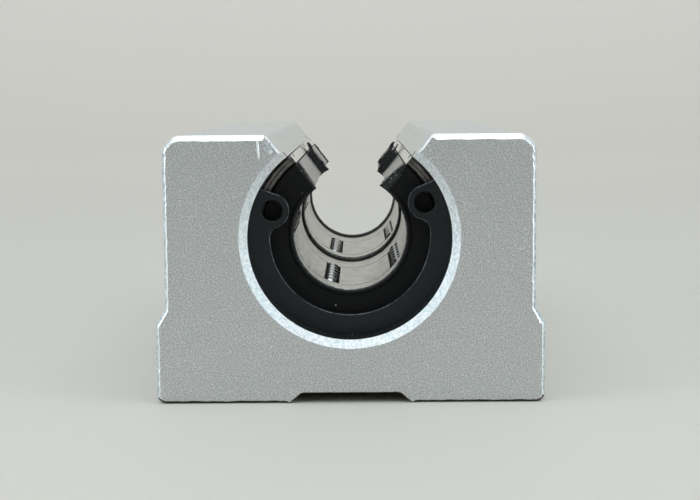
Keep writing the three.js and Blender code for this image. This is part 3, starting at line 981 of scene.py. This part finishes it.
def build_sleeve(name):
    """The steel shell: turned ring grooves outside, stepped ends, raised raceways inside."""
    end = BUSHING_LENGTH / 2
    inner = SLEEVE_INNER_RADIUS
    outer = SLEEVE_RADIUS
    groove_floor = outer - SLEEVE_RING_GROOVE_DEPTH
    groove_start, groove_end = SLEEVE_RING_GROOVE
    score_start, score_middle, score_end = SLEEVE_SCORE
    blunt, keen = SLEEVE_CORNER_RADII
    front_half = [
        ((inner, 0), 0),
        ((inner, -end + SLEEVE_BORE_CHAMFER), blunt),
        ((inner + SLEEVE_BORE_CHAMFER, -end), blunt),
        ((inner + score_start, -end), keen),
        ((inner + score_middle, -end + SLEEVE_SCORE_DEPTH), keen),
        ((inner + score_end, -end), keen),
        ((outer - SLEEVE_END_CHAMFER, -end), blunt),
        ((outer, -end + SLEEVE_END_CHAMFER), blunt),
        ((outer, -groove_start), keen),
        ((groove_floor, -groove_start), blunt),
        ((groove_floor, -groove_end), blunt),
        ((outer, -groove_end), keen),
        ((outer, 0), 0),
    ]
    profile = rounded(front_half + [((r, -y), radius) for (r, y), radius in reversed(front_half)])
    start = OPENING_HALF_ANGLE
    piece = turned_sector(f"{name}_bearing_sleeve", lambda _: profile, start, 360 - start, BUSHING_STEPS)
    for centre in CIRCUIT_CENTRES.values():
        combined(piece, moved(raceway(), from_down(centre - ROW_HALF_ANGLE)), "UNION")
    mark_cut_faces(painted(piece, SLEEVE, CUT_STEEL, TURNED_STEEL))
    placed(piece, f"{name}_sleeve", "root", bushing_place(name))


def round_bore(face):
    """The way out from the bore axis at a face, and how far its normal points round the axis."""
    outward = Vector((face.center.x, 0, face.center.z)).normalized()
    return outward, face.normal.x * outward.z - face.normal.z * outward.x


def mark_cut_faces(piece):
    """Numbers a bushing part's faces: 1 for those cut along the slot, 2 for its two end faces."""
    for face in piece.data.polygons:
        outward, across = round_bore(face)
        near_slot = outward.z > math.cos(math.radians(OPENING_HALF_ANGLE + 1))
        if near_slot and abs(across) > CUT_FACE:
            face.material_index = 1
        else:
            face.material_index = 2 * int(abs(face.normal.y) > TILTED_FACE)


def raceway():
    """The raised land over a loaded row, hollowed to the balls' radius, for a row straight down."""
    groove_radius = BALL_RADIUS * RACEWAY_LOOSENESS
    lip = math.degrees(math.asin(RACEWAY_LIP / groove_radius))
    groove = arc((0, -LOAD_ROW_RADIUS), groove_radius, 180 + lip, 180 - lip, steps=16)
    back = SLEEVE_INNER_RADIUS + RACEWAY_ROOT
    width = RACEWAY_HALF_WIDTH
    outline = [Vector((-width, -back)), Vector((-width, groove[0].y)), *groove,
               Vector((width, groove[-1].y)), Vector((width, -back))]
    return prism("raceway", outline, -RACEWAY_HALF_LENGTH, RACEWAY_HALF_LENGTH)


def cage_profile_at(angle):
    """The cage's radial section: thin over the circuits, thick along the slot's edges."""
    from_slot = min(angle, 360 - angle) - OPENING_HALF_ANGLE
    rise = min(1, max(0, (CAGE_EDGE_ANGLE - from_slot) / CAGE_EDGE_RISE))
    outer = CAGE_OUTER_RADIUS + (CAGE_EDGE_RADIUS - CAGE_OUTER_RADIUS) * rise
    end = CAGE_HALF_LENGTH
    corners = [(CAGE_INNER_RADIUS, end), (CAGE_INNER_RADIUS, -end), (outer, -end), (outer, end)]
    return rounded([(corner, CAGE_CORNER_RADIUS) for corner in corners])


def racetrack(radius):
    """A circuit's plan: two straights and two half turns, clockwise, as (across, along)."""
    rear = arc((turn_offset, row_half_length), radius, -90, 90, steps=24)
    front = arc((turn_offset, -row_half_length), radius, 90, 270, steps=24)
    return rear + front


def plan_block(name, outline, near, far):
    """A block with an outline seen from the bore axis, between two distances straight down."""
    rings = [[(p.x, p.y, -depth) for p in outline] for depth in (near, far)]
    return loft(name, rings)


def channel_tool():
    """Where one circuit's balls run: a racetrack trench down to the cage's floor."""
    trench = plan_block("trench", racetrack(turn_radius + CHANNEL_HALF_WIDTH), *CHANNEL_DEPTHS)
    island = plan_block("island", racetrack(turn_radius - CHANNEL_HALF_WIDTH), *ISLAND_DEPTHS)
    ends = [(CAGE_FLOOR_RADIUS, -BUSHING_LENGTH), (CAGE_FLOOR_RADIUS, BUSHING_LENGTH)]
    return cut(trench, [island, turned_on_axis("floor", ends, steps=144)])


def window_tools():
    """The opening over a loaded row, with a slit at each end, for a row straight down."""
    near, far = WINDOW_ENDS
    width = WINDOW_HALF_WIDTH
    spans = [
        (-width, width, near, far),
        (-2 * width, width, near, near + WINDOW_SLIT),
        (-2 * width, width, far - WINDOW_SLIT, far),
    ]
    tools = []
    for left, right, start, end in spans:
        outline = [Vector(p) for p in ((left, start), (left, end), (right, end), (right, start))]
        tools.append(plan_block("window", outline, CAGE_INNER_RADIUS - OVERSHOOT, LOAD_ROW_RADIUS))
    return tools


def seam_tools():
    """The thin joints round the cage's bore, just beyond the windows' ends."""
    depth = CAGE_INNER_RADIUS + SEAM_DEPTH
    return [
        turned_on_axis("seam", [(depth, place), (depth, place + SEAM_WIDTH)], steps=200)
        for place in SEAM_PLACES
    ]


def build_cage(name):
    start = OPENING_HALF_ANGLE
    piece = turned_sector(f"{name}_ball_cage", cage_profile_at, start, 360 - start, BUSHING_STEPS)
    softened(piece, CAGE_SOFTENING)
    for centre in CIRCUIT_CENTRES.values():
        cut(piece, [moved(channel_tool(), from_down(centre))])
        cut(piece, [moved(tool, from_down(centre - ROW_HALF_ANGLE)) for tool in window_tools()])
    cut(piece, seam_tools())
    mark_cut_faces(painted(piece, CAGE, DULL_STEEL, CAGE))
    placed(piece, f"{name}_cage", "root", bushing_place(name))


def seal_profile():
    """The seal's section: a flat body with a lip that leans out to its inner edge."""
    lip = SEAL_LIP_RADIUS
    outer = SEAL_OUTER_RADIUS
    back = SEAL_THICKNESS
    corners = [
        ((lip, 0.12), 0.06),
        ((lip + 0.14, 0), 0.05),
        ((lip + 0.42, 0), 0.06),
        ((lip + 0.55, 0.16), 0.08),
        ((outer - 0.5, 0.12), 0.1),
        ((outer - 0.35, 0), 0.06),
        ((outer, 0), 0.12),
        ((outer, back), 0.1),
        ((lip + 0.45, back), 0.1),
        ((lip + 0.4, back * 0.6), 0.1),
        ((lip, 0.5), 0.1),
    ]
    return divided(rounded(corners), spacing=0.16)


def seal_angles():
    """Angles from cut edge to cut edge, close together near the edges, where the flash is."""
    start = OPENING_HALF_ANGLE + FLASH_ANGLES[-1]
    step = (360 - 2 * start) / SEAL_STEPS
    near_right = [OPENING_HALF_ANGLE + a for a in FLASH_ANGLES]
    near_left = [360 - OPENING_HALF_ANGLE - a for a in reversed(FLASH_ANGLES)]
    return near_right + [start + step * i for i in range(1, SEAL_STEPS)] + near_left


def edge_reach(r, reaches):
    """How far a seal's cut edge stands out at a radius, from values at its lip, middle and outside."""
    place = (r - SEAL_LIP_RADIUS) / (SEAL_OUTER_RADIUS - SEAL_LIP_RADIUS) * 2
    lip, middle, outside = reaches
    return lip + (middle - lip) * place if place < 1 else middle + (outside - middle) * (place - 1)


def torn(r, y, seed):
    """How far a torn edge wanders at a point of the seal's section: coarse tears and finer ones."""
    coarse = noise.noise(Vector((r * COARSE_TEARS_PER_MM[0], y * COARSE_TEARS_PER_MM[1], seed)))
    fine = noise.noise(Vector((r * FINE_TEARS_PER_MM[0], y * FINE_TEARS_PER_MM[1], seed + 5)))
    return coarse + FINE_TEARS * fine


def build_seal(name, which, left, right, raggedness, spread, seed):
    """An end seal with torn flash: how far its cut edges stand out, how raggedly and how far outwards."""
    profile = seal_profile()
    end = -1 if (name == "front") == (which == "outer") else 1
    rings = []
    for angle in seal_angles():
        from_right = angle - OPENING_HALF_ANGLE
        from_left = 360 - OPENING_HALF_ANGLE - angle
        on_right = from_right < from_left
        fade = max(0, 1 - min(from_right, from_left) / FLASH_ANGLES[-1])
        ring = []
        for r, y in profile:
            reach = edge_reach(r, right if on_right else left) + raggedness * torn(r, y, seed)
            turn = math.degrees(reach * fade / r) * (-1 if on_right else 1)
            lip = max(0, 1 - (r - SEAL_LIP_RADIUS) / LIP_WIDTH)
            ripple = LIP_RIPPLE * lip * noise.noise(Vector((angle * RIPPLES_PER_DEGREE, y, seed + 9)))
            outer = max(0, (r - SEAL_FLANGE_START) / (SEAL_OUTER_RADIUS - SEAL_FLANGE_START))
            flare = spread * outer * (fade == 1)
            ring.append(on_ring(r + ripple + flare, angle + turn, -end * y))
        rings.append(ring)
    piece = painted(loft(f"{name}_{which}_wiper_seal", rings), RUBBER, TORN_RUBBER)
    for face in piece.data.polygons:
        centre = face.center / MM
        at_lip = math.hypot(centre.x, centre.z) < SEAL_LIP_RADIUS + GLOSSY_LIP_WIDTH
        from_up = abs(math.degrees(math.atan2(centre.x, centre.z)))
        face.material_index = int(at_lip or from_up < OPENING_HALF_ANGLE + TORN_ANGLE)
    place = bushing_place(name) @ shift(0, end * (BUSHING_LENGTH / 2 - SEAL_RECESS), 0)
    placed(piece, f"{name}_{which}_seal", "root", place)


# ---------- balls


def balls_at(name, centres):
    """Separate bearing balls at places in millimetres, as one piece."""
    builder = bmesh.new()
    for centre in centres:
        place = Matrix.Translation(Vector(centre) * MM)
        bmesh.ops.create_uvsphere(
            builder, u_segments=28, v_segments=16, radius=BALL_RADIUS * MM, matrix=place
        )
    piece = painted(add_object(name, builder), BALL, BALL_FLANK_REFLECTION)
    for face in piece.data.polygons:
        # The balls' flanks, turned round the bore axis, take the painted dark reflection.
        face.material_index = int(not FLANK_REFLECTION_LIMITS[0] < round_bore(face)[1] < FLANK_REFLECTION_LIMITS[1])
    return piece


def row_centres(offset, radius):
    """Ball centres of a straight row at an angle from its circuit's middle."""
    place = polar(radius, 180 - offset)
    half = (BALLS_PER_ROW - 1) * ball_pitch / 2
    return [(place.x, i * ball_pitch - half, place.y) for i in range(BALLS_PER_ROW)]


def turn_centres(end):
    """Ball centres of a half turn at the rear, or at the front where end is -1."""
    centres = []
    for i, height in enumerate(TURN_HEIGHTS):
        angle = math.radians(180 / BALLS_PER_TURN * (i + 0.5))
        x = turn_offset - turn_radius * math.cos(angle)
        y = end * (row_half_length + turn_radius * math.sin(angle))
        centres.append((x, y, -height))
    return centres


def build_circuit(bushing, side):
    """The four ball groups of one circuit, each on its own body."""
    place = bushing_place(bushing) @ from_down(CIRCUIT_CENTRES[side])
    groups = {
        "load_row": row_centres(-ROW_HALF_ANGLE, LOAD_ROW_RADIUS),
        "return_row": row_centres(ROW_HALF_ANGLE, RETURN_ROW_RADIUS),
        "near_turn": turn_centres(-1),
        "far_turn": turn_centres(1),
    }
    for group, centres in groups.items():
        node = f"{bushing}_{side}_{group}"
        placed(balls_at(f"{node}_balls", centres), node, node, place)


# ---------- set screws


def build_set_screw(name):
    """A socket set screw with its thread, point and hexagon socket."""
    low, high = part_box(f"{name}_set_screw")
    length = (high.x - low.x) / MM
    shank = thread_tool("shank", length=length, **SCREW_THREAD)
    envelope = SCREW_POINT + [(r, length - y) for r, y in SCREW_HEAD]
    combined(shank, turned_on_axis("outside", envelope, steps=64), "INTERSECT")
    corner = SCREW_SOCKET_ACROSS_FLATS / math.sqrt(3)
    floor = length - SCREW_SOCKET_DEPTH
    socket = [(SCREW_SOCKET_TIP, floor - SCREW_SOCKET_CONE), (corner, floor), (corner, length + OVERSHOOT)]
    rim = [(corner + reach, length + reach) for reach in SCREW_RIM]
    cut(shank, [turned_on_axis("socket", socket, steps=6), turned_on_axis("rim", rim)])
    shank.name = f"{name}_socket_set_screw"
    painted(shank, SCREW)
    outward = shift(low.x / MM, BUSHING_CENTRES[name], BORE_HEIGHT) @ QUARTER_TURN
    placed(shank, f"{name}_set_screw", f"{name}_set_screw", outward)


# ---------- studio

FLOOR_COLOUR = (0.69, 0.66, 0.615)
WALL_COLOUR = (0.95, 0.92, 0.87)
SKY_LIGHT = (0.56, 0.61, 0.63)
FRONT_LIGHT = (0.08, 0.085, 0.09)
FRONT_HEIGHTS = (0.4, 0.75)
FRONT_SPREAD = (-0.85, -0.3)
SOFTBOXES = [
    ("overhead", (0, -0.12, 0.34), (0, -0.03, 0), (0.4, 0.4), 0.56, (0.95, 1.0, 1.0)),
    ("left", (-0.4, -0.2, 0.13), (0, -0.03, 0.015), (0.24, 0.2), 0.5, (0.85, 0.97, 1.0)),
    ("right", (0.4, -0.2, 0.13), (0, -0.03, 0.015), (0.24, 0.2), 0.5, (0.85, 0.97, 1.0)),
    ("background", (0, 0.35, 0.6), (0, 0.9, 0.3), (2.4, 0.3), 3.7, (0.98, 1.0, 1.0)),
]

CAMERA_PLACE = (0.00104, -0.178, 0.03158)
CAMERA_PITCH = 83.73
CAMERA_YAW = 0.41
CAMERA_ROLL = -0.45
CAMERA_LENS = 72.6


def build_camera():
    data = bpy.data.cameras.new("camera")
    data.lens = CAMERA_LENS
    data.clip_start = 0.01
    camera = bpy.data.objects.new("camera", data)
    turn = (
        Matrix.Rotation(math.radians(CAMERA_YAW), 4, "Z")
        @ Matrix.Rotation(math.radians(CAMERA_PITCH), 4, "X")
        @ Matrix.Rotation(math.radians(CAMERA_ROLL), 4, "Z")
    )
    camera.matrix_world = Matrix.Translation(CAMERA_PLACE) @ turn
    scene.collection.objects.link(camera)
    scene.camera = camera


def build_backdrop():
    """A pale floor that curves up far behind the block, paler where less light falls on it."""
    width, depth, front, radius, height = 3000, 900, -1200, 300, 1200
    profile = [(front, 0), (depth - radius, 0)]
    profile += [(depth - radius + p.x, radius - p.y) for p in arc((0, 0), radius, 0, 90, 24)[1:]]
    profile.append((depth, height))
    builder = bmesh.new()
    rows = [[builder.verts.new(Vector((x, y, z)) * MM) for y, z in profile] for x in (-width / 2, width / 2)]
    for i in range(len(profile) - 1):
        builder.faces.new((rows[0][i], rows[1][i], rows[1][i + 1], rows[0][i + 1]))
    floor = add_object("backdrop", builder)
    surface = Surface("backdrop", Roughness=0.6, Specular_IOR_Level=0.2)
    level = add_node(surface.tree, "SeparateXYZ", Vector=surface.coordinates).outputs["Z"]
    surface.tint(surface.band(level, 0, radius * MM), FLOOR_COLOUR, WALL_COLOUR)
    painted(smoothed(floor), surface)


def add_softbox(name, place, target, size, power, colour):
    """A soft rectangular lamp that faces its target."""
    data = bpy.data.lights.new(name, "AREA")
    data.shape = "RECTANGLE"
    data.size, data.size_y = size
    data.energy = power
    data.color = colour
    lamp = bpy.data.objects.new(name, data)
    towards = (Vector(target) - Vector(place)).to_track_quat("-Z", "Y").to_matrix().to_4x4()
    lamp.matrix_world = Matrix.Translation(place) @ towards
    scene.collection.objects.link(lamp)


def build_world():
    """Even light from all round and above, with a dim room low behind the camera."""
    world = bpy.data.worlds.new("studio")
    world.use_nodes = True
    tree = world.node_tree
    direction = add_node(tree, "TexCoord").outputs["Generated"]
    parts = add_node(tree, "SeparateXYZ", Vector=direction).outputs
    fades = [
        add_node(
            tree, "MapRange", {"interpolation_type": "SMOOTHSTEP"}, Value=parts[axis],
            From_Min=full, From_Max=none, To_Min=1.0, To_Max=0.0,
        ).outputs["Result"]
        for axis, (full, none) in (("Z", FRONT_HEIGHTS), ("Y", FRONT_SPREAD))
    ]
    sky = blended(tree, multiplied(tree, *fades), SKY_LIGHT, FRONT_LIGHT)
    connect(tree, tree.nodes["Background"].inputs["Color"], sky)
    scene.world = world
    scene.view_settings.view_transform = "Standard"
    for softbox in SOFTBOXES:
        add_softbox(*softbox)


# ---------- everything

build_camera()
build_backdrop()
build_world()
build_housing()
for end_name in ("front", "rear"):
    build_circlip(end_name)
    build_sleeve(end_name)
    build_cage(end_name)
    build_set_screw(end_name)
    for side_name in CIRCUIT_CENTRES:
        build_circuit(end_name, side_name)
for number, seal in enumerate(SEALS, start=1):
    build_seal(*seal, seed=number)
